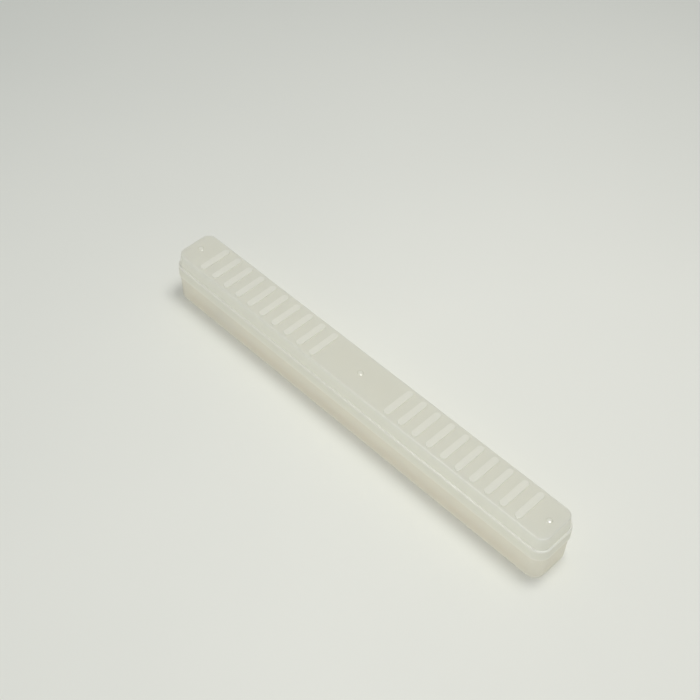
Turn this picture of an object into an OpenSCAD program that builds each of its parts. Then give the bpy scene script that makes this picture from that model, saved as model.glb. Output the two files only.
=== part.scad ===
// Ten-inch simplex slide rule in its moulded case with a lift-off lid.
// Millimetres. +X runs along the rule, +Y across it and +Z up.
// The origin is the middle of the underside of the case.

/* [Slide rule] */
// Length of the stock, which is also the length of the tongue
rule_l = 294; // [240:1:360]
// Width of the stock
rule_w = 24.6; // [22:0.2:34]
// Thickness of the stock, with its back cover and its facings
rule_t = 9; // [8.6:0.1:12]
// Width of the tongue between the two rails
tongue_w = 12.2; // [9:0.1:14]
// Thickness of the facings on the rails and on the front of the tongue
facing_t = 0.6; // [0.4:0.1:1]
// Thickness of the cover sheet on the back of the stock
cover_t = 0.6; // [0.4:0.1:1]
// Thickness of the metal plate that ties the two rails together
plate_t = 0.6; // [0.4:0.1:1]
// Width of each rail that the metal plate reaches under
plate_lap = 2.6; // [2:0.1:3.2]
// Height of the keys along the sides of the tongue
key_h = 2.2; // [1.2:0.1:2.4]
// Depth of the keys along the sides of the tongue
key_d = 1.1; // [0.6:0.1:1.4]
// Sliding clearance all round the tongue
slide_gap = 0.2; // [0.1:0.05:0.3]

/* [Cursor] */
// Length of the cursor along the rule
cursor_l = 22; // [16:1:30]
// Distance of the cursor from the middle of the rule
cursor_x = -112; // [-115:1:115]
// Thickness of the cursor window
glass_t = 1; // [0.8:0.1:1.6]
// Thickness of the metal of the two cursor bars
bar_t = 0.7; // [0.5:0.1:1]
// Gap between the cursor and the face and lower edge of the stock
cursor_gap = 0.3; // [0.2:0.05:0.5]
// Room for the leaf spring at the upper edge of the stock
spring_gap = 0.6; // [0.5:0.05:1]
// Depth of the grooves that the lips of the cursor run in
runner_d = 0.9; // [0.7:0.1:1.2]

/* [Case] */
// Height of the closed case up to its flat top
case_h = 38.5; // [30:0.5:48]
// Thickness of the moulded walls
wall_t = 1.2; // [1:0.1:1.6]
// Height of the lid above its skirt
lid_rise = 9.5; // [5:0.5:14]
// Height of the skirt of the lid
skirt_h = 7.7; // [6:0.1:10]
// Plan corner radius of the skirt of the lid
corner_r = 8.5; // [7:0.5:11]
// Thickness of the rim round the base that the lid closes down on
rim_t = 1.2; // [0.8:0.1:2]
// Play between the cursor and the walls at the floor of the case
side_play = 0.6; // [0.2:0.1:2]
// Play between the ends of the stock and the case
end_play = 10.7; // [2:0.2:15]
// Clearance between the skirt of the lid and the neck of the base
lid_fit = 0.15; // [0.1:0.05:0.3]

/* [Ribs and nubs on the lid] */
// Raised ribs in each of the two groups
rib_count = 10; // [1:1:10]
// Distance from the middle of the lid to the first rib
rib_first = 32.5; // [10:0.5:34]
// Distance between neighbouring ribs
rib_pitch = 11.45; // [8:0.05:11.5]
// Width of a rib
rib_w = 5; // [3:0.1:6]
// Gap between the ends of a rib and the edges of the flat top
rib_margin = 2.3; // [2:0.1:5]
// Height of the ribs above the flat top
rib_h = 0.5; // [0.3:0.1:1]
// Radius of the three round nubs
nub_r = 2.2; // [1.2:0.1:2.4]
// Height of the three round nubs
nub_h = 0.5; // [0.4:0.1:1]
// Distance from the end of the lid to the outer nubs
nub_inset = 10; // [8:0.5:12]

/* [Hidden] */
$fn = 48;

// A cut is made this much longer than the solid that it goes through
cut = 1;

// --- stock: heights are above the back of the rule, widths from its centre line ---
well_w = tongue_w + 2 * slide_gap;
rail_w = (rule_w - well_w) / 2;
rail_top = rule_t - facing_t;
rail_mid = well_w / 2 + rail_w / 2;
plate_top = cover_t + plate_t;
plate_w = well_w + 2 * plate_lap;
key_z = 3.6;
runner_z = 5.4;
runner_h = 1.4;
edge_strip_z = 1.4;
edge_strip_h = 3.4;
edge_strip_t = 0.5;

// Openings in the back that show the tongue's rear scales
window_l = 14;
window_w = 10;
window_inset = 3;
window_x = rule_l / 2 - window_inset - window_l / 2;

// Pins that hold the plate to the rails, and the facings down at their ends
pin_r = 0.6;
pin_l = 2.4;
pin_rows = 9;
pin_span = 2 * (window_x - window_l);
pin_y = well_w / 2 + plate_lap / 2;
facing_pin_r = 0.4;
facing_pin_l = 2;
facing_pin_x = rule_l / 2 - 4;

// --- tongue ---
tongue_gap = 0.3;
tongue_z = plate_top + tongue_gap;
tongue_back_t = 0.5;

// --- cursor ---
ledge_t = 0.4;
ledge_w = 1.5;
glass_z = rule_t + cursor_gap + ledge_t;
cursor_top = glass_z + glass_t;
glass_w = rule_w - 0.6;
lip_gap = 0.3;
lip_h = runner_h - 2 * lip_gap;
lip_z = runner_z + lip_gap;
screw_r = 0.5;
screw_head_r = 1;
screw_head_h = 0.35;
screw_x = cursor_l / 2 - 2;
screw_y = glass_w / 2 - ledge_w / 2;
upper_leg = rule_w / 2 + spring_gap;
lower_leg = rule_w / 2 + cursor_gap / 2;
cursor_half_w = upper_leg + bar_t;
spring_t = 0.2;
spring_l = cursor_l - 8;
spring_bow = spring_gap - spring_t - 0.15;
spring_h = 1.6;
spring_z = lip_z + lip_h + lip_gap;
spring_r = (pow(spring_l / 2, 2) + pow(spring_bow, 2)) / (2 * spring_bow);

// --- case: an inset is measured inwards from the lower edge of the skirt ---
skirt_lip = 0.8;
skirt_draft = 0.15;
base_draft = 0.3;
lid_draft = 0.8;
step_w = 1.4;
neck_t = 1;
neck_draft = 0.1;
foot_r = 1.5;
top_r = 1;
skirt_r = 0.8;
rim_r = 0.4;
floor_t = 1.3;
rest_gap = 0.1;
seat_gap = 0.1;
neck_gap = 0.4;

case_w = 2 * (cursor_half_w + side_play + wall_t + base_draft + skirt_lip);
case_l = rule_l + 2 * (end_play + wall_t + base_draft + skirt_lip);
step_z = case_h - lid_rise;
seat_z = step_z - skirt_h;
neck_top = step_z - wall_t - neck_gap;
neck_inset = wall_t + skirt_draft + lid_fit;
top_inset = step_w + lid_draft;
flat_w = case_w - 2 * top_inset;
rib_l = flat_w - 2 * rib_margin;
nub_x = case_l / 2 - nub_inset;
rule_z = floor_t + rest_gap;

// Points of an arc about c from angle a0 to angle a1
function arc(c, r, a0, a1, n = 6) =
    [for (i = [0:n]) c + r * [cos(a0 + (a1 - a0) * i / n), sin(a0 + (a1 - a0) * i / n)]];

// --- moulded case ---

// Sweeps a wall section round a rounded rectangle, and fills the middle with a plate.
// The section's x runs from the corner's centre outwards, and its y is the height.
module moulding(plate_z, plate_t) {
    straight_x = case_l - 2 * corner_r;
    straight_y = case_w - 2 * corner_r;
    for (turn = [0:3]) {
        side_x = (turn == 0 || turn == 3) ? 1 : -1;
        side_y = (turn < 2) ? 1 : -1;
        translate([side_x * straight_x / 2, side_y * straight_y / 2, 0])
            rotate([0, 0, 90 * turn])
                rotate_extrude(angle = 90, $fn = 72) children();
    }
    for (m = [0, 1]) {
        mirror([0, m, 0])
            translate([0, straight_y / 2, 0])
                rotate([90, 0, 90]) linear_extrude(straight_x, center = true) children();
        mirror([m, 0, 0])
            translate([straight_x / 2, 0, 0])
                rotate([90, 0, 0]) linear_extrude(straight_y, center = true) children();
    }
    translate([-straight_x / 2, -straight_y / 2, plate_z]) cube([straight_x, straight_y, plate_t]);
}

// Section of the base: floor, leaning wall, rim under the skirt, and neck inside the lid
module base_section() {
    foot_x = corner_r - skirt_lip - base_draft;
    wall_x = corner_r - skirt_lip;
    neck_x = corner_r - neck_inset;
    inner_r = max(foot_r - wall_t, 0.3);
    polygon(concat(
        [[0, 0]],
        arc([foot_x - foot_r, foot_r], foot_r, -90, 0),
        [[wall_x, seat_z - rim_t], [corner_r, seat_z - rim_t]],
        arc([corner_r - rim_r, seat_z - rim_r], rim_r, 0, 90, 4),
        [[neck_x, seat_z], [neck_x - neck_draft, neck_top]],
        [[neck_x - neck_draft - neck_t, neck_top], [neck_x - neck_t, seat_z - neck_t]],
        [[wall_x - wall_t, seat_z - neck_t - 1.5]],
        arc([foot_x - wall_t - inner_r, floor_t + inner_r], inner_r, 0, -90),
        [[0, floor_t]]
    ));
}

// Section of the lid: skirt, step, leaning wall and flat top
module lid_section() {
    skirt_x = corner_r - skirt_draft;
    wall_x = corner_r - step_w;
    top_x = corner_r - top_inset;
    polygon(concat(
        [[corner_r - wall_t, seat_z + seat_gap], [corner_r, seat_z + seat_gap]],
        arc([skirt_x - skirt_r, step_z - skirt_r], skirt_r, 0, 90, 4),
        [[wall_x, step_z]],
        arc([top_x - top_r, case_h - top_r], top_r, 0, 90),
        [[0, case_h], [0, case_h - wall_t], [top_x - wall_t, case_h - wall_t]],
        [[wall_x - wall_t, step_z - wall_t], [skirt_x - wall_t, step_z - wall_t]]
    ));
}

// A raised rib with round ends, across the lid
module rib() {
    translate([0, 0, case_h - wall_t / 2]) linear_extrude(wall_t / 2 + rib_h) {
        square([rib_w, rib_l - rib_w], center = true);
        for (side = [-1, 1]) translate([0, side * (rib_l - rib_w) / 2]) circle(d = rib_w);
    }
}

// A shallow domed nub
module nub() {
    ball_r = (pow(nub_r, 2) + pow(nub_h, 2)) / (2 * nub_h);
    translate([0, 0, case_h]) intersection() {
        translate([0, 0, nub_h - ball_r]) sphere(ball_r, $fn = 64);
        translate([0, 0, -wall_t / 2]) cylinder(h = wall_t, r = nub_r);
    }
}

module case_base() {
    color([0.86, 0.86, 0.80]) moulding(0, floor_t) base_section();
}

module case_lid() {
    color([0.88, 0.88, 0.83]) {
        moulding(case_h - wall_t, wall_t) lid_section();
        for (side = [-1, 1], i = [0:rib_count - 1])
            translate([side * (rib_first + i * rib_pitch), 0, 0]) rib();
        for (x = [-nub_x, 0, nub_x]) translate([x, 0, 0]) nub();
    }
}

// --- stock ---

// Puts a piece of the rule on the floor of the case
module on_floor() {
    translate([0, 0, rule_z]) children();
}

// Draws a section of y and z along the whole rule
module along_rule(length = rule_l) {
    rotate([90, 0, 90]) linear_extrude(length, center = true) children();
}

module rail_section() {
    difference() {
        translate([well_w / 2, cover_t]) square([rail_w, rail_top - cover_t]);
        translate([well_w / 2 - cut, cover_t - cut]) square([plate_lap + cut, plate_t + cut]);
        translate([well_w / 2 - cut, key_z - slide_gap])
            square([key_d + slide_gap + cut, key_h + 2 * slide_gap]);
        translate([rule_w / 2 - runner_d, runner_z]) square([runner_d + cut, runner_h]);
    }
}

// Holes for the pins under one rail and in the ends of its top
module rail_pin_holes() {
    plate_pins(1);
    for (x = [-facing_pin_x, facing_pin_x]) translate([x, rail_mid, 0]) facing_pin();
}

module plate_pins(side) {
    for (i = [0:pin_rows - 1])
        translate([pin_span * (i / (pin_rows - 1) - 0.5), side * pin_y, cover_t])
            cylinder(h = pin_l, r = pin_r, $fn = 24);
}

module facing_pin() {
    translate([0, 0, rule_t - facing_pin_l]) cylinder(h = facing_pin_l, r = facing_pin_r, $fn = 24);
}

module upper_rail() {
    color([0.80, 0.66, 0.42]) on_floor() difference() {
        along_rule() rail_section();
        rail_pin_holes();
    }
}

module lower_rail() {
    color([0.80, 0.66, 0.42]) on_floor() mirror([0, 1, 0]) difference() {
        along_rule() difference() {
            rail_section();
            translate([rule_w / 2 - edge_strip_t, edge_strip_z])
                square([edge_strip_t + cut, edge_strip_h]);
        }
        rail_pin_holes();
    }
}

// Plan of the openings at both ends of the back
module window_plan() {
    square([window_l, window_w], center = true);
}

module back_plate() {
    color([0.74, 0.75, 0.76]) on_floor() difference() {
        translate([0, 0, cover_t]) linear_extrude(plate_t) difference() {
            square([rule_l, plate_w], center = true);
            for (x = [-window_x, window_x]) translate([x, 0]) window_plan();
        }
        for (side = [-1, 1]) plate_pins(side);
    }
}

module back_pins() {
    color([0.78, 0.62, 0.30]) on_floor() for (side = [-1, 1]) plate_pins(side);
}

module back_cover() {
    color([0.93, 0.90, 0.78]) on_floor() linear_extrude(cover_t) difference() {
        square([rule_l, rule_w], center = true);
        for (x = [-window_x, window_x]) translate([x, 0]) window_plan();
    }
}

module index_window(x) {
    color([0.85, 0.90, 0.92, 0.5]) on_floor() translate([x, 0, 0])
        linear_extrude(cover_t) window_plan();
}

module left_index_window() {
    index_window(-window_x);
}

module right_index_window() {
    index_window(window_x);
}

// The facing of one rail, with its two pin holes
module rail_facing() {
    color([0.95, 0.93, 0.84]) on_floor() difference() {
        translate([-rule_l / 2, well_w / 2, rail_top]) cube([rule_l, rail_w, facing_t]);
        for (x = [-facing_pin_x, facing_pin_x]) translate([x, rail_mid, 0]) facing_pin();
    }
}

module upper_facing() {
    rail_facing();
}

module lower_facing() {
    mirror([0, 1, 0]) rail_facing();
}

module edge_scale() {
    color([0.95, 0.93, 0.84]) on_floor()
        translate([-rule_l / 2, -rule_w / 2, edge_strip_z]) cube([rule_l, edge_strip_t, edge_strip_h]);
}

module facing_pins() {
    color([0.78, 0.62, 0.30]) on_floor()
        for (x = [-facing_pin_x, facing_pin_x], side = [-1, 1])
            translate([x, side * rail_mid, 0]) facing_pin();
}

// --- tongue ---

module tongue_core() {
    core_z = tongue_z + tongue_back_t;
    color([0.80, 0.66, 0.42]) on_floor() difference() {
        along_rule() {
            translate([-tongue_w / 2, core_z]) square([tongue_w, rail_top - core_z]);
            translate([-tongue_w / 2 - key_d, key_z]) square([tongue_w + 2 * key_d, key_h]);
        }
        for (x = [-facing_pin_x, facing_pin_x]) translate([x, 0, 0]) facing_pin();
    }
}

module tongue_front_facing() {
    color([0.95, 0.93, 0.84]) on_floor() difference() {
        translate([-rule_l / 2, -tongue_w / 2, rail_top]) cube([rule_l, tongue_w, facing_t]);
        for (x = [-facing_pin_x, facing_pin_x]) translate([x, 0, 0]) facing_pin();
    }
}

module tongue_back_facing() {
    color([0.95, 0.93, 0.84]) on_floor()
        translate([-rule_l / 2, -tongue_w / 2, tongue_z]) cube([rule_l, tongue_w, tongue_back_t]);
}

module tongue_pins() {
    color([0.78, 0.62, 0.30]) on_floor()
        for (x = [-facing_pin_x, facing_pin_x]) translate([x, 0, 0]) facing_pin();
}

// --- cursor ---

// Moves a piece of the cursor to its place along the rule
module at_cursor() {
    on_floor() translate([cursor_x, 0, 0]) children();
}

module cursor_screw_shanks() {
    for (x = [-screw_x, screw_x], y = [-screw_y, screw_y])
        translate([x, y, rule_t + cursor_gap]) cylinder(h = ledge_t + glass_t, r = screw_r, $fn = 24);
}

// A bar is a ledge under the window, a leg down the edge of the stock,
// and a lip that runs in the groove. leg is the distance to the inside of the leg.
module cursor_bar(leg) {
    difference() {
        along_rule(cursor_l) {
            translate([glass_w / 2 - ledge_w, rule_t + cursor_gap])
                square([leg + bar_t - glass_w / 2 + ledge_w, ledge_t]);
            translate([glass_w / 2, rule_t + cursor_gap])
                square([leg + bar_t - glass_w / 2, cursor_top - rule_t - cursor_gap]);
            translate([leg, lip_z]) square([bar_t, cursor_top - lip_z]);
            translate([rule_w / 2 - runner_d + lip_gap, lip_z])
                square([leg - rule_w / 2 + runner_d - lip_gap + bar_t, lip_h]);
        }
        cursor_screw_shanks();
    }
}

module cursor_upper_bar() {
    color([0.80, 0.81, 0.82]) at_cursor() cursor_bar(upper_leg);
}

module cursor_lower_bar() {
    color([0.80, 0.81, 0.82]) at_cursor() mirror([0, 1, 0]) cursor_bar(lower_leg);
}

module cursor_window() {
    color([0.85, 0.90, 0.92, 0.4]) at_cursor() difference() {
        translate([-cursor_l / 2, -glass_w / 2, glass_z]) cube([cursor_l, glass_w, glass_t]);
        cursor_screw_shanks();
    }
}

module cursor_screws() {
    color([0.72, 0.72, 0.73]) at_cursor() {
        cursor_screw_shanks();
        for (x = [-screw_x, screw_x], y = [-screw_y, screw_y])
            translate([x, y, cursor_top]) cylinder(h = screw_head_h, r = screw_head_r, $fn = 24);
    }
}

// A bowed strip whose two ends press on the leg of the upper bar
module cursor_spring() {
    color([0.70, 0.71, 0.73]) at_cursor() translate([0, 0, spring_z]) linear_extrude(spring_h)
        intersection() {
            translate([0, upper_leg - spring_bow - spring_t + spring_r]) difference() {
                circle(spring_r, $fn = 180);
                circle(spring_r - spring_t, $fn = 180);
            }
            translate([-spring_l / 2, rule_w / 2]) square([spring_l, spring_gap]);
        }
}

case_base();
case_lid();
upper_rail();
lower_rail();
back_plate();
back_pins();
back_cover();
left_index_window();
right_index_window();
upper_facing();
lower_facing();
edge_scale();
facing_pins();
tongue_core();
tongue_front_facing();
tongue_back_facing();
tongue_pins();
cursor_upper_bar();
cursor_lower_bar();
cursor_window();
cursor_screws();
cursor_spring();
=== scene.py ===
import math
import bmesh
import bpy
from mathutils import Euler, Matrix, Vector


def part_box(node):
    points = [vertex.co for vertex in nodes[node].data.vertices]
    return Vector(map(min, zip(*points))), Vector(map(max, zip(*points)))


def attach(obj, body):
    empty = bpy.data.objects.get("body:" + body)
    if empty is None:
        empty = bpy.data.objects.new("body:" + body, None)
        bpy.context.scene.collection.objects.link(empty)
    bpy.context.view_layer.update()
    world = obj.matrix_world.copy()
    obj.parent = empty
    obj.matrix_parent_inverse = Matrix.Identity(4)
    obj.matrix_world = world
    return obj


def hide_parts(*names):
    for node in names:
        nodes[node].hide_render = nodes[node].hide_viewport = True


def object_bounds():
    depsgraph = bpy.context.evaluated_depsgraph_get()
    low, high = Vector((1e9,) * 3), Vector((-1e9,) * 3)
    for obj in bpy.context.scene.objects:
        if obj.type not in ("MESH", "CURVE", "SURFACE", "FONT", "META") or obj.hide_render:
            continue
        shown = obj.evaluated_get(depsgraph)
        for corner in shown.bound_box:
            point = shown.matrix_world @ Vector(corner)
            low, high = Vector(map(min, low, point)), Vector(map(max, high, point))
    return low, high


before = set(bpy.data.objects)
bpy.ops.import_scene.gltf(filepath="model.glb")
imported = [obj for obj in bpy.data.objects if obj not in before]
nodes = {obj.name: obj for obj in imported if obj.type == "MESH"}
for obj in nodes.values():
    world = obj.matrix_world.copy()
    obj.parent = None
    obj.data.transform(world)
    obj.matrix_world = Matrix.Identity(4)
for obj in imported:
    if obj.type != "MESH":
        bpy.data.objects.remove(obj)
cad_low, cad_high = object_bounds()
mm = 0.001

# --- Camera and studio -------------------------------------------------------------------
# The case lies closed on a pale sheet, seen from above and from its right-hand end.
# A soft light hangs overhead, a low one fills the near walls, and a third, near and to the left,
# brings out the edges.
scene = bpy.context.scene
scene.view_settings.view_transform = "Standard"
nub_h = 0.5 * mm
lid_top_z = cad_high.z - nub_h
case_l = cad_high.x - cad_low.x
case_w = cad_high.y - cad_low.y

look_at = Vector((-0.055 * case_l, 0.26 * case_w, lid_top_z))
turn = math.radians(43.88)
tilt = math.radians(48.86)
roll = math.radians(1.82)
distance = 2.53 * case_l
back = Vector((math.sin(turn) * math.cos(tilt), -math.cos(turn) * math.cos(tilt), math.sin(tilt)))
facing = Euler((math.pi / 2 - tilt, 0, turn)).to_matrix() @ Matrix.Rotation(roll, 3, "Z")
bpy.ops.object.camera_add(location=look_at + back * distance, rotation=facing.to_euler())
camera = bpy.context.object
camera.name = "studio_camera"
camera.data.lens = 66.86
camera.data.sensor_width = 36
scene.camera = camera

bpy.ops.mesh.primitive_plane_add(size=8, location=(0, 0, 0))
floor = bpy.context.object
floor.name = "studio_floor"


class Wire:
    """One shader socket. Arithmetic on it adds Math nodes."""

    def __init__(self, tree, socket):
        self.tree = tree
        self.socket = socket

    def node(self, kind, settings, inputs, output=0):
        """Adds a node with its settings and its inputs, and gives one of its outputs."""
        made = self.tree.nodes.new(kind)
        for name, value in settings.items():
            if name == "stops":
                ramp = made.color_ramp.elements
                while len(ramp) < len(value):
                    ramp.new(0.5)
                for stop, (place, colour) in zip(ramp, value):
                    stop.position = place
                    stop.color = colour
            else:
                setattr(made, name, value)
        for key, value in inputs.items():
            if isinstance(value, Wire):
                self.tree.links.new(value.socket, made.inputs[key])
            else:
                made.inputs[key].default_value = value
        return Wire(self.tree, made.outputs[output])

    def maths(self, operation, *values):
        return self.node("ShaderNodeMath", {"operation": operation}, dict(enumerate(values)))

    def __add__(self, other):
        return self.maths("ADD", self, other)

    __radd__ = __add__

    def __mul__(self, other):
        return self.maths("MULTIPLY", self, other)

    __rmul__ = __mul__

    def __sub__(self, other):
        return self.maths("SUBTRACT", self, other)

    def __rsub__(self, other):
        return self.maths("SUBTRACT", other, self)

    def __gt__(self, other):
        return self.maths("GREATER_THAN", self, other)

    def noise(self, scale, detail=3, rough=0.5):
        """Clouds of about one metre over scale, from 0 to 1, read at this place."""
        settings = {"Vector": self, "Scale": scale, "Detail": detail, "Roughness": rough}
        return self.node("ShaderNodeTexNoise", {}, settings)

    def ramp(self, start, end, low=0.0, high=1.0):
        """Runs from low to high while this value goes from start to end, and stops there."""
        settings = {"Value": self, "From Min": start, "From Max": end, "To Min": low, "To Max": high}
        return self.node("ShaderNodeMapRange", {}, settings)

    def spread(self, low, high):
        """Stretches the middle of a noise to run from low to high."""
        return self.ramp(0.3, 0.7, low, high)

    def blend(self, first, second):
        """Mixes two colours by this value."""
        return self.node(
            "ShaderNodeMix", {"data_type": "RGBA"}, {"Factor": self, 6: first, 7: second}, output=2
        )

    def stretched(self, x, y, z):
        """The same place with its three directions scaled, for grain and brushing."""
        return self.node("ShaderNodeMapping", {}, {"Vector": self, "Scale": (x, y, z)})

    def bump(self, depth, strength=1.0):
        """A surface normal from this height, with its depth in metres."""
        settings = {"Height": self, "Distance": depth, "Strength": strength}
        return self.node("ShaderNodeBump", {}, settings)


def new_finish(name, **constants):
    """A material, its shader and the place on the piece that its patterns read."""
    finish = bpy.data.materials.new(name)
    finish.use_nodes = True
    tree = finish.node_tree
    shader = tree.nodes["Principled BSDF"]
    for key, value in constants.items():
        shader.inputs[key.replace("_", " ")].default_value = value
    where = Wire(tree, tree.nodes.new("ShaderNodeTexCoord").outputs["Object"])
    return finish, shader, where


def plug(shader, **wires):
    """Links varying values into the shader's sockets."""
    for key, wire in wires.items():
        wire.tree.links.new(wire.socket, shader.inputs[key.replace("_", " ")])


paper, paper_shader, on_paper = new_finish("pale_sheet", Roughness=0.9)
# The sheet's colour is painted paler round a point beside the right end of the case and darker away from
# it: a painted pool of light, with a faint random tone on top.
painted_light_centre = (0.18, 0.05, 0)
reach = on_paper.node(
    "ShaderNodeVectorMath", {"operation": "DISTANCE"}, {0: on_paper, 1: painted_light_centre}, output=1
)
shade = reach.ramp(0.2, 0.8) + on_paper.noise(5, 3) * 0.2 - 0.1
plug(paper_shader, Base_Color=shade.blend((0.79, 0.80, 0.74, 1), (0.60, 0.62, 0.58, 1)))
floor.data.materials.append(paper)


def add_light(name, place, size, power, shadow=True):
    """A square soft light at a place, turned to the object."""
    bpy.ops.object.light_add(type="AREA", location=place)
    light = bpy.context.object
    light.name = name
    light.data.size = size
    light.data.energy = power
    light.data.use_shadow = shadow
    light.rotation_euler = (-Vector(place)).to_track_quat("-Z", "Y").to_euler()


add_light("overhead_light", (0.15, 0.26, 1.5), 0.5, 9.2)
add_light("fill_light", (0.75, -1.15, 0.28), 1.0, 4.8, shadow=False)
add_light("glint_light", (-0.4, -0.5, 1.35), 0.5, 4, shadow=False)
world = bpy.data.worlds.new("studio_air")
scene.world = world
world.use_nodes = True
world.node_tree.nodes["Background"].inputs["Color"].default_value = (1, 1, 1, 1)
world.node_tree.nodes["Background"].inputs["Strength"].default_value = 0.36

# --- Case base ---------------------------------------------------------------------------
# A deep tray moulded in milky polypropylene, one even wall all round with a little draft.
# Its rim steps in to a neck, so that the skirt of the lid comes down flush round it.
base_low, base_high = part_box("case_base")
lid_low, lid_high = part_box("case_lid")
wall_t = 1.2 * mm
corner_r = 8.5 * mm
seat_gap = 0.1 * mm
seat_z = lid_low.z - seat_gap
lid_rise = 9.5 * mm
step_z = lid_top_z - lid_rise
skirt_lip = 0.8 * mm
base_draft = 0.3 * mm
neck_step = 0.7 * mm
neck_t = 1.0 * mm
neck_draft = 0.1 * mm
neck_edge = 0.2 * mm
foot_r = 1.5 * mm
floor_t = 1.3 * mm
corner_segments = 14


def deselect():
    if bpy.context.object and bpy.context.object.mode != "OBJECT":
        bpy.ops.object.mode_set(mode="OBJECT")
    bpy.ops.object.select_all(action="DESELECT")


def start_block(name, centre, size):
    """A box primitive of a given centre and size, with its scale applied."""
    deselect()
    bpy.ops.mesh.primitive_cube_add(size=1, location=centre, scale=size)
    block = bpy.context.object
    block.name = name
    block.data.name = name
    bpy.ops.object.transform_apply(location=True, rotation=False, scale=True)
    return block


def pick(piece, kind, wanted):
    """Selects the edges or faces of the piece in edit mode for which wanted is true."""
    if piece.mode != "EDIT":
        bpy.ops.object.mode_set(mode="EDIT")
    bpy.ops.mesh.select_mode(type=kind.upper())
    bpy.ops.mesh.select_all(action="DESELECT")
    mesh = bmesh.from_edit_mesh(piece.data)
    found = {"edge": mesh.edges, "face": mesh.faces, "vert": mesh.verts}[kind]
    for part in found:
        if wanted(part):
            part.select_set(True)
    bmesh.update_edit_mesh(piece.data)


def upright(edge):
    return abs(edge.verts[0].co.z - edge.verts[1].co.z) > 1e-6


def round_corners(piece, radius, segments):
    """Rounds the upright edges of a box, so that its plan has round corners."""
    pick(piece, "edge", upright)
    bpy.ops.mesh.bevel(offset=radius, segments=segments, affect="EDGES")


def pick_cap(piece, z):
    """Selects the flat face at height z."""
    pick(piece, "face", lambda f: all(abs(v.co.z - z) < 1e-6 for v in f.verts))


def carry(inwards, along):
    """Carries the selected cap on: a new ring, set inwards and moved along the cap's normal."""
    if inwards:
        bpy.ops.mesh.inset(thickness=inwards, depth=along, use_even_offset=True)
    else:
        mesh = bmesh.from_edit_mesh(bpy.context.object.data)
        normal = [f.normal.copy() for f in mesh.faces if f.select][0]
        bpy.ops.mesh.extrude_region_move(TRANSFORM_OT_translate={"value": normal * along})


def carry_round(radius, start, end, steps=6, side=1):
    """Carries the cap round an arc of the wall's section, from one slope angle to another."""
    for i in range(steps):
        a = math.radians(start + (end - start) * i / steps)
        b = math.radians(start + (end - start) * (i + 1) / steps)
        carry(radius * abs(math.cos(a) - math.cos(b)), side * radius * abs(math.sin(b) - math.sin(a)))


def finish_mesh(piece, angle=24):
    """Smooth shading that keeps the edges, with the flat faces kept flat."""
    deselect()
    piece.select_set(True)
    bpy.context.view_layer.objects.active = piece
    bpy.ops.object.shade_smooth_by_angle(angle=math.radians(angle))
    bpy.ops.object.modifier_add(type="WEIGHTED_NORMAL")
    piece.modifiers[-1].keep_sharp = True
    bpy.ops.object.modifier_apply(modifier=piece.modifiers[-1].name)


rim_l = base_high.x - base_low.x
rim_w = base_high.y - base_low.y
rim_t = 1.2 * mm
rim_r = 0.4 * mm
base = start_block("base_moulding", (0, 0, seat_z - (rim_t + rim_r) / 2), (rim_l, rim_w, rim_t - rim_r))
round_corners(base, corner_r, corner_segments)

pick_cap(base, seat_z - rim_t)
carry(skirt_lip, 0)
carry(base_draft, seat_z - rim_t - foot_r)
carry_round(foot_r, 0, 90)

pick_cap(base, seat_z - rim_r)
carry_round(rim_r, 0, 90, 4)
carry(skirt_lip + neck_step - rim_r, 0)
carry(neck_draft, base_high.z - seat_z - neck_edge)
carry(neck_edge, neck_edge)
carry(neck_t - 2 * neck_edge, 0)
carry(neck_edge, -neck_edge)
carry(0, -(base_high.z - neck_edge - seat_z + neck_t))
joggle = 1.5 * mm
carry(0, -joggle)
neck_inset = skirt_lip + neck_step + neck_draft + neck_t
inner_inset = skirt_lip + wall_t
wider = [(side / 2 - inner_inset) / (side / 2 - neck_inset) for side in (rim_l, rim_w)]
bpy.ops.transform.resize(value=(*wider, 1), center_override=(0, 0, 0))
inner_r = 0.3 * mm
carry(base_draft, -(seat_z - neck_t - joggle - floor_t - inner_r))
carry_round(inner_r, 0, 90, 3, side=-1)
finish_mesh(base)


def milky_plastic(name, pale, warm, edges):
    """Natural polypropylene: it passes light on, scattered, and has a soft moulded gloss.
    Bands of colour by height are painted highlights and painted shade at its edges. edges gives
    their heights, their half widths and their painted tones."""
    finish, shader, where = new_finish(name, IOR=1.49, Coat_Weight=1.0, Coat_IOR=2.0, Coat_Roughness=0.1)
    clouds = where.noise(16, 2)
    specks = where.noise(1400, 2)
    height = where.node("ShaderNodeSeparateXYZ", {}, {"Vector": where}, output=2)
    colour = clouds.blend(pale, warm)
    # Each band blends its painted tone into the colour near its height: painted highlights and painted
    # shade.
    for z, width, painted_tone in edges:
        away = height - z
        colour = away.maths("ABSOLUTE", away).ramp(width, 0.4 * width).blend(colour, painted_tone)
    plug(
        shader,
        Base_Color=colour,
        Roughness=where.noise(90, 3).spread(0.36, 0.46),
        Normal=(clouds * 3 + specks * 0.4).bump(0.00002, 0.5),
    )
    tree = finish.node_tree
    glow = tree.nodes.new("ShaderNodeBsdfTranslucent")
    glow.inputs["Color"].default_value = pale
    body = tree.nodes.new("ShaderNodeMixShader")
    body.inputs["Fac"].default_value = 0.5
    tree.links.new(shader.outputs["BSDF"], body.inputs[1])
    tree.links.new(glow.outputs["BSDF"], body.inputs[2])
    tree.links.new(body.outputs["Shader"], tree.nodes["Material Output"].inputs["Surface"])
    return finish


# Pale bands painted into the colour at the top of the rim and just above the foot: painted highlights
# where those rounded edges catch the light.
highlight_white = (1, 1, 0.96, 1)
rim_highlight = (seat_z - rim_t / 2, 0.7 * mm, highlight_white)
foot_highlight = (1.7 * mm, 1.0 * mm, highlight_white)
base_plastic = milky_plastic(
    "milky_base_plastic", (0.88, 0.87, 0.805, 1), (0.87, 0.855, 0.785, 1), [rim_highlight, foot_highlight]
)
base.data.materials.append(base_plastic)
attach(base, "case")
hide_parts("case_base")

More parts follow.
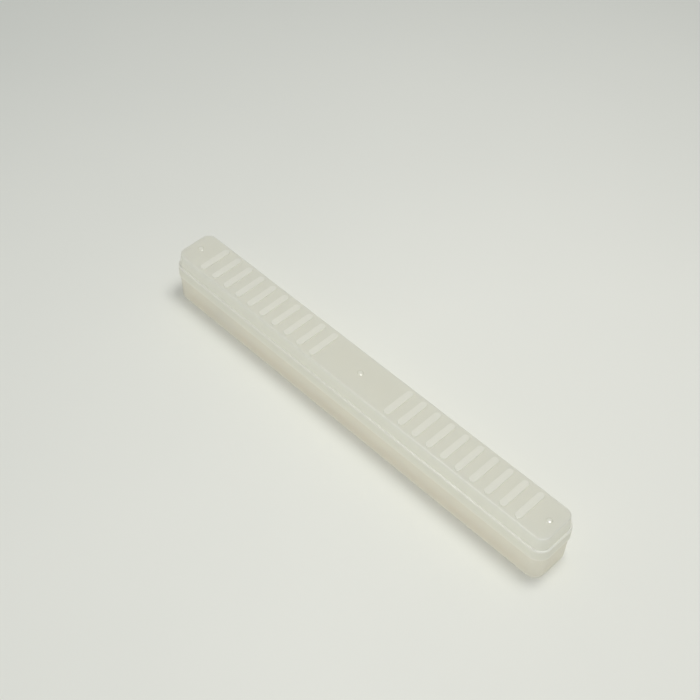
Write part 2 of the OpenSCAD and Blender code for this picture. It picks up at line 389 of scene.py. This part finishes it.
# --- Case lid ----------------------------------------------------------------------------
# The lift-off lid, moulded in the same plastic. A skirt goes over the neck of the base, and
# the flat top carries two groups of ten raised ribs and three domed gate marks in its middle.
skirt_draft = 0.15 * mm
skirt_r = 0.8 * mm
step_w = 1.4 * mm
lid_draft = 0.8 * mm
top_r = 1 * mm
lid_l = lid_high.x - lid_low.x
lid_w = lid_high.y - lid_low.y
lip_t = 0.6 * mm

lid = start_block("lid_moulding", (0, 0, lid_low.z + lip_t / 2), (lid_l, lid_w, lip_t))
round_corners(lid, corner_r, corner_segments)

pick_cap(lid, lid_low.z + lip_t)
carry(skirt_draft, step_z - skirt_r - lid_low.z - lip_t)
carry_round(skirt_r, 0, 90, 5)
fillet_r = 0.2 * mm
carry(step_w - skirt_draft - skirt_r - fillet_r, 0)
for i in range(4):
    a, b = math.radians(90 * i / 4), math.radians(90 * (i + 1) / 4)
    carry(fillet_r * (math.sin(b) - math.sin(a)), fillet_r * (math.cos(a) - math.cos(b)))
carry(lid_draft, lid_top_z - top_r - step_z - fillet_r)
carry_round(top_r, 0, 90)

pick_cap(lid, lid_low.z)
carry(wall_t, 0)
carry(skirt_draft, -(step_z - wall_t - lid_low.z))
carry(step_w - skirt_draft, 0)
carry(lid_draft, -(lid_top_z - step_z))

rib_count = 10
rib_first = 32.5 * mm
rib_pitch = 11.45 * mm
rib_w = 5 * mm
rib_l = 24 * mm
rib_h = 0.5 * mm
rib_sink = 0.4 * mm
rib_edge_r = 0.46 * mm
rib_flat = 0.02 * mm
nub_r = 2.2 * mm
nub_from_end = 10 * mm
nub_x = lid_l / 2 - nub_from_end

rib = start_block("rib", (0, 0, lid_top_z + (rib_h - rib_sink) / 2), (rib_w, rib_l, rib_h + rib_sink))
round_corners(rib, rib_w / 2 - rib_flat, 8)
pick(rib, "edge", lambda e: all(v.co.z > lid_top_z for v in e.verts))
bpy.ops.mesh.bevel(offset=rib_edge_r, segments=3, affect="EDGES")
deselect()

ball_r = (nub_r ** 2 + nub_h ** 2) / (2 * nub_h)
bpy.ops.mesh.primitive_uv_sphere_add(
    segments=32, ring_count=48, radius=ball_r, location=(0, 0, lid_top_z + nub_h - ball_r)
)
nub = bpy.context.object
nub.name = "nub"
bpy.ops.object.transform_apply(location=True, rotation=False, scale=False)
bpy.ops.object.mode_set(mode="EDIT")
bpy.ops.mesh.select_all(action="SELECT")
bpy.ops.mesh.bisect(
    plane_co=(0, 0, lid_top_z - rib_sink), plane_no=(0, 0, 1), use_fill=True, clear_inner=True
)
deselect()


def copy_at(piece, x=0, y=0, z=0):
    """A copy of a piece with its own mesh, moved to one side."""
    made = bpy.data.objects.new(piece.name, piece.data.copy())
    made.data.transform(Matrix.Translation((x, y, z)))
    scene.collection.objects.link(made)
    return made


def join(name, parts):
    """Joins pieces that are moulded or inlaid as one."""
    deselect()
    for part in parts:
        part.select_set(True)
    bpy.context.view_layer.objects.active = parts[0]
    bpy.ops.object.join()
    parts[0].name = name
    parts[0].data.name = name
    return parts[0]


places = [side * (rib_first + i * rib_pitch) for side in (-1, 1) for i in range(rib_count)]
ribs = [copy_at(rib, x) for x in places]
nubs = [copy_at(nub, x) for x in (-nub_x, 0, nub_x)]
relief = join("relief", ribs + nubs)
bpy.data.objects.remove(rib)
bpy.data.objects.remove(nub)
deselect()
lid.select_set(True)
bpy.context.view_layer.objects.active = lid
bpy.ops.object.modifier_add(type="BOOLEAN")
weld = lid.modifiers[-1]
weld.operation = "UNION"
weld.solver = "EXACT"
weld.object = relief
bpy.ops.object.modifier_apply(modifier=weld.name)
bpy.data.objects.remove(relief)
finish_mesh(lid)

# Colour painted by height: a darker band over the skirt is painted shade where it doubles the neck's
# wall, and a pale line at the step is a painted highlight on its rounded edge.
skirt_shade_band = ((lid_low.z + step_z) / 2, 3.6 * mm, (0.85, 0.85, 0.79, 1))
step_highlight = (step_z - 0.3 * mm, 0.7 * mm, highlight_white)
# A dark band just above the top, round the feet of the ribs and nubs, is painted shade. Their tops are
# paler, for thicker plastic there and partly a painted highlight.
rib_shade_outline = (lid_top_z + 0.14 * mm, 0.2 * mm, (0.66, 0.66, 0.58, 1))
pale_rib_tops_and_highlight = (lid_top_z + rib_h, 0.1 * mm, (0.915, 0.92, 0.87, 1))
lid_plastic = milky_plastic(
    "milky_lid_plastic", (0.90, 0.905, 0.855, 1), (0.89, 0.89, 0.835, 1),
    [skirt_shade_band, step_highlight, rib_shade_outline, pale_rib_tops_and_highlight],
)
lid.data.materials.append(lid_plastic)
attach(lid, "lid")
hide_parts("case_lid")

# --- Bamboo rails and tongue -------------------------------------------------------------
# The two rails and the core of the tongue are sawn from laminated bamboo, planed straight
# and oiled. Fibres run the whole length, with darker strands and a joint between laminae.
bamboo, bamboo_shader, in_bamboo = new_finish("oiled_bamboo", IOR=1.5)
fibres = in_bamboo.stretched(0.02, 1, 1).noise(1500, 4, 0.65)
strands = in_bamboo.stretched(0.06, 1, 1).noise(420, 2)
lamina = in_bamboo.stretched(0.1, 1, 1).noise(90, 1)
plug(
    bamboo_shader,
    Base_Color=(fibres * 0.6 + strands * 0.4).spread(0, 1).blend(
        lamina.spread(0, 1).blend((0.43, 0.25, 0.10, 1), (0.50, 0.31, 0.13, 1)), (0.66, 0.47, 0.23, 1)
    ),
    Roughness=fibres.spread(0.42, 0.6),
    Normal=fibres.bump(0.00005, 0.6),
)


def dress(finish, *names):
    """Gives CAD nodes a finish."""
    for name in names:
        nodes[name].data.materials.clear()
        nodes[name].data.materials.append(finish)


dress(bamboo, "upper_rail", "lower_rail", "tongue_core")

# --- Ivory facings -----------------------------------------------------------------------
# Thin celluloid sheets glued to the bamboo on every face that carries a scale, and a wider
# one over the back. The sheet has a faint straight grain, and is buffed to a soft shine.
ivory, ivory_shader, on_ivory = new_finish("ivory_celluloid", IOR=1.5, Coat_Roughness=0.12)
grain = on_ivory.stretched(0.03, 1, 1).noise(900, 3, 0.6)
age = on_ivory.noise(35, 3)
plug(
    ivory_shader,
    Base_Color=grain.spread(0, 1).blend(
        age.spread(0, 1).blend((0.83, 0.78, 0.60, 1), (0.80, 0.74, 0.54, 1)), (0.87, 0.83, 0.68, 1)
    ),
    Roughness=age.spread(0.24, 0.36),
    Coat_Weight=age.spread(0.1, 0.3),
    Normal=(grain * 0.5 + age).bump(0.00001, 0.5),
)
dress(ivory, "upper_facing", "lower_facing", "edge_scale", "back_cover")
dress(ivory, "tongue_front_facing", "tongue_back_facing")

# --- Back plate and pins -----------------------------------------------------------------
# A rolled aluminium strip ties the rails together under the back cover. Small brass pins
# hold it, and the same brass wire pins the ends of the facings, filed flush.
rolled, rolled_shader, on_plate = new_finish("rolled_aluminium", Metallic=1.0)
rolling = on_plate.stretched(0.02, 1, 1).noise(2500, 3)
plug(
    rolled_shader,
    Base_Color=rolling.spread(0, 1).blend((0.62, 0.63, 0.64, 1), (0.74, 0.75, 0.76, 1)),
    Roughness=rolling.spread(0.3, 0.45),
)
dress(rolled, "back_plate")

brass, brass_shader, on_brass = new_finish("filed_brass", Metallic=1.0)
filing = on_brass.stretched(1, 0.1, 1).noise(6000, 2)
plug(
    brass_shader,
    Base_Color=filing.spread(0, 1).blend((0.62, 0.42, 0.16, 1), (0.80, 0.60, 0.28, 1)),
    Roughness=filing.spread(0.28, 0.42),
)
dress(brass, "back_pins", "facing_pins", "tongue_pins")

# --- Clear windows -----------------------------------------------------------------------
# The cursor window and the two index windows in the back are clear acrylic, polished, with
# the finest of rub marks from the cloth that cleans them.
clear, clear_shader, on_clear = new_finish("clear_acrylic", Transmission_Weight=1.0, IOR=1.49)
rubs = on_clear.stretched(1, 0.15, 1).noise(1800, 3)
plug(
    clear_shader,
    Base_Color=rubs.spread(0, 1).blend((0.95, 0.97, 0.97, 1), (0.98, 0.99, 0.99, 1)),
    Roughness=rubs.spread(0.01, 0.05),
)
dress(clear, "cursor_window", "left_index_window", "right_index_window")

# --- Cursor metal ------------------------------------------------------------------------
# The bars are pressed brass strip, nickel plated and brushed along their length. The screws
# are turned steel, and the spring is a strip of blued steel bowed between bar and stock.
plated, plated_shader, on_plating = new_finish("brushed_nickel", Metallic=1.0)
brushing = on_plating.stretched(0.05, 1, 1).noise(4000, 3)
plug(
    plated_shader,
    Base_Color=brushing.spread(0, 1).blend((0.66, 0.65, 0.62, 1), (0.80, 0.79, 0.76, 1)),
    Roughness=brushing.spread(0.2, 0.34),
)
dress(plated, "cursor_upper_bar", "cursor_lower_bar")

turned, turned_shader, on_screw = new_finish("turned_steel", Metallic=1.0)
turning = on_screw.noise(3500, 2)
plug(
    turned_shader,
    Base_Color=turning.spread(0, 1).blend((0.42, 0.42, 0.43, 1), (0.58, 0.58, 0.59, 1)),
    Roughness=turning.spread(0.25, 0.4),
)
dress(turned, "cursor_screws")

blued, blued_shader, on_spring = new_finish("blued_spring_steel", Metallic=1.0)
bluing = on_spring.noise(900, 2)
plug(
    blued_shader,
    Base_Color=bluing.spread(0, 1).blend((0.12, 0.14, 0.22, 1), (0.24, 0.26, 0.32, 1)),
    Roughness=bluing.spread(0.25, 0.38),
)
dress(blued, "cursor_spring")

# --- Scale lines -------------------------------------------------------------------------
# Every line is cut into the celluloid and filled with black, so a line is a thin bar let in
# to the face. Long, middle and short lines are each modelled once, and copied to their place.
ink, ink_shader, in_ink = new_finish("black_filling", IOR=1.5)
ink_grain = in_ink.noise(5000, 2)
plug(
    ink_shader,
    Base_Color=ink_grain.spread(0, 1).blend((0.012, 0.012, 0.013, 1), (0.03, 0.03, 0.03, 1)),
    Roughness=ink_grain.spread(0.4, 0.6),
)
red_ink, red_shader, in_red = new_finish("red_filling", IOR=1.5)
red_grain = in_red.noise(5000, 2)
plug(
    red_shader,
    Base_Color=red_grain.spread(0, 1).blend((0.42, 0.02, 0.02, 1), (0.55, 0.04, 0.03, 1)),
    Roughness=red_grain.spread(0.4, 0.6),
)

scale_l = 250 * mm
line_w = 0.11 * mm
proud = 0.015 * mm
sunk = 0.04 * mm
face_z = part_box("upper_facing")[1].z
back_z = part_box("tongue_back_facing")[0].z
line_l = {"long": 2.0 * mm, "middle": 1.5 * mm, "short": 1.0 * mm}
crown = (0.02 * mm, 0.003 * mm)
figure_gap = 1.1 * mm
letter_gap = 9 * mm


def scale_line(length):
    """A line standing on y = 0 and reaching to its length, let in to the plane z = 0."""
    line = start_block("line", (0, length / 2, (proud - sunk) / 2), (line_w, length, proud + sunk))
    pick_cap(line, proud)
    carry(*crown)
    deselect()
    return line


lines = {name: scale_line(length) for name, length in line_l.items()}


def figure(text, size=1.7 * mm):
    """A numeral in the plane z = 0, centred on the origin, a little proud of it."""
    deselect()
    bpy.ops.object.text_add(location=(0, 0, 0))
    made = bpy.context.object
    made.data.body = text
    made.data.size = size
    made.data.extrude = proud
    made.data.align_x = "CENTER"
    made.data.align_y = "CENTER"
    bpy.ops.object.convert(target="MESH")
    made = bpy.context.object
    bpy.ops.object.mode_set(mode="EDIT")
    bpy.ops.mesh.select_all(action="SELECT")
    bpy.ops.mesh.remove_doubles(threshold=1e-7)
    bpy.ops.mesh.normals_make_consistent(inside=False)
    deselect()
    return made


figures = {text: figure(text) for text in "0123456789ABCDK"}


def place_mark(mark, x, y, z, up=1, under=False):
    """Copies a line or a numeral to its place. up is -1 where it hangs from y."""
    made = copy_at(mark)
    flip = Matrix.Diagonal((1, up, up, 1)) if up < 0 and mark.name.startswith("line") else Matrix()
    made.data.transform(flip)
    if under:
        made.data.transform(Matrix.Rotation(math.pi, 4, "X"))
    made.data.transform(Matrix.Translation((x, y, z)))
    return made


def divisions(steps):
    """The values of one decade with the rank of each line. steps gives (up to, step, middle)."""
    value = 1.0
    for limit, step, middle in steps:
        while value < limit - step / 2:
            whole = abs(value * 10 - round(value * 10)) < 1e-6
            half = abs(value / middle - round(value / middle)) < 1e-6
            yield value, "long" if whole and limit < 6 or abs(value - round(value)) < 1e-6 else (
                "middle" if half else "short"
            )
            value = round(value + step, 4)


fine = [(2, 0.01, 0.05), (4, 0.02, 0.1), (10, 0.05, 0.5)]
half_fine = [(2, 0.02, 0.1), (5, 0.05, 0.5), (10, 0.1, 0.5)]
coarse = [(3, 0.05, 0.5), (6, 0.1, 0.5), (10, 0.2, 1)]


def log_scale(letter, y, up, steps, decades, z=face_z, under=False, reverse=False):
    """One logarithmic scale: its lines from the edge at y, its numerals and its letter."""
    parts = []
    numeral_y = y + up * (line_l["long"] + figure_gap)

    def along(value, decade):
        x = scale_l * ((decade + math.log10(value)) / decades - 0.5)
        return -x if reverse else x

    for decade in range(decades):
        for value, rank in divisions(steps):
            parts.append(place_mark(lines[rank], along(value, decade), y, z, up, under))
            if abs(value - round(value)) < 1e-6:
                text = str(round(value))
                parts.append(place_mark(figures[text], along(value, decade), numeral_y, z, 1, under))
    parts.append(place_mark(lines["long"], along(10, decades - 1), y, z, up, under))
    parts.append(place_mark(figures["1"], along(10, decades - 1), numeral_y, z, 1, under))
    if letter:
        parts.append(place_mark(figures[letter], -scale_l / 2 - letter_gap, numeral_y, z, 1, under))
    return parts


def ink_in(name, parts, body, filling=ink):
    """Joins one face's marks into a piece that moves with that face."""
    marks = join(name, parts)
    marks.data.materials.clear()
    marks.data.materials.append(filling)
    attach(marks, body)
    return marks


upper_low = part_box("upper_facing")[0]
lower_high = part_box("lower_facing")[1]
tongue_low, tongue_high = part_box("tongue_front_facing")
edge = 0.05 * mm
ink_in("upper_rail_scale", log_scale("A", upper_low.y + edge, 1, half_fine, 2), "stock")
ink_in("lower_rail_scale", log_scale("D", lower_high.y - edge, -1, fine, 1), "stock")
b_scale = log_scale("B", tongue_high.y - edge, -1, half_fine, 2)
c_scale = log_scale("C", tongue_low.y + edge, 1, fine, 1)
ink_in("tongue_scales", b_scale + c_scale, "tongue")
reciprocal_y = -0.6 * mm
ink_in(
    "tongue_reciprocal_scale",
    [
        place_mark(lines[rank], scale_l * (0.5 - math.log10(value)), reciprocal_y, face_z)
        for value, rank in list(divisions(half_fine)) + [(10, "long")]
    ],
    "tongue",
    red_ink,
)
ink_in(
    "tongue_back_scales",
    log_scale("K", tongue_high.y - edge, -1, coarse, 3, back_z, True),
    "tongue",
)

# --- Centimetre scale --------------------------------------------------------------------
# A plain ruler in millimetres runs down the front edge of the stock, with its zero at the
# left index, so that the rule also measures on a drawing board.
edge_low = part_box("edge_scale")[0]
ruler_steps = 250
digit_pitch = 1.1 * mm
digit_y = 2.6 * mm
ruler = []
for i in range(ruler_steps + 1):
    x = (i - ruler_steps / 2) * mm
    rank = "long" if i % 10 == 0 else "middle" if i % 5 == 0 else "short"
    ruler.append(place_mark(lines[rank], x, 0, 0))
    if i % 10 == 0:
        digits = str(i // 10)
        for j, digit in enumerate(digits):
            shift = (j - (len(digits) - 1) / 2) * digit_pitch
            ruler.append(place_mark(figures[digit], x + shift, digit_y, 0))
ruler_marks = join("centimetre_scale", ruler)
ruler_marks.data.transform(Matrix.Rotation(math.pi / 2, 4, "X"))
ruler_marks.data.transform(Matrix.Translation((0, edge_low.y, edge_low.z + 0.02 * mm)))
ruler_marks.data.materials.clear()
ruler_marks.data.materials.append(ink)
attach(ruler_marks, "stock")

# --- Hairlines ---------------------------------------------------------------------------
# One hairline is engraved across the underside of the cursor window and filled with red. A
# black one crosses each index window, to read the scales on the back of the tongue.
window_low, window_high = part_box("cursor_window")
hair_w = 0.1 * mm
hair_t = 0.03 * mm
hair_margin = 0.2 * mm
hair_depth = 0.02 * mm


def hairline(name, box, z, body, filling):
    """A filled line across a clear window, let in to its face at height z."""
    low, high = box
    centre = ((low.x + high.x) / 2, (low.y + high.y) / 2, z)
    hair = start_block(name, centre, (hair_w, high.y - low.y - 2 * hair_margin, hair_t))
    pick(hair, "edge", upright)
    bpy.ops.mesh.bevel(offset=hair_t, segments=2, affect="EDGES")
    deselect()
    hair.data.materials.append(filling)
    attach(hair, body)


hairline("cursor_hairline", (window_low, window_high), window_low.z - hair_depth, "cursor", red_ink)
for side in ("left", "right"):
    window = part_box(side + "_index_window")
    hairline(side + "_index_line", window, window[0].z + hair_depth, "stock", ink)

for spare in list(lines.values()) + list(figures.values()):
    bpy.data.objects.remove(spare)
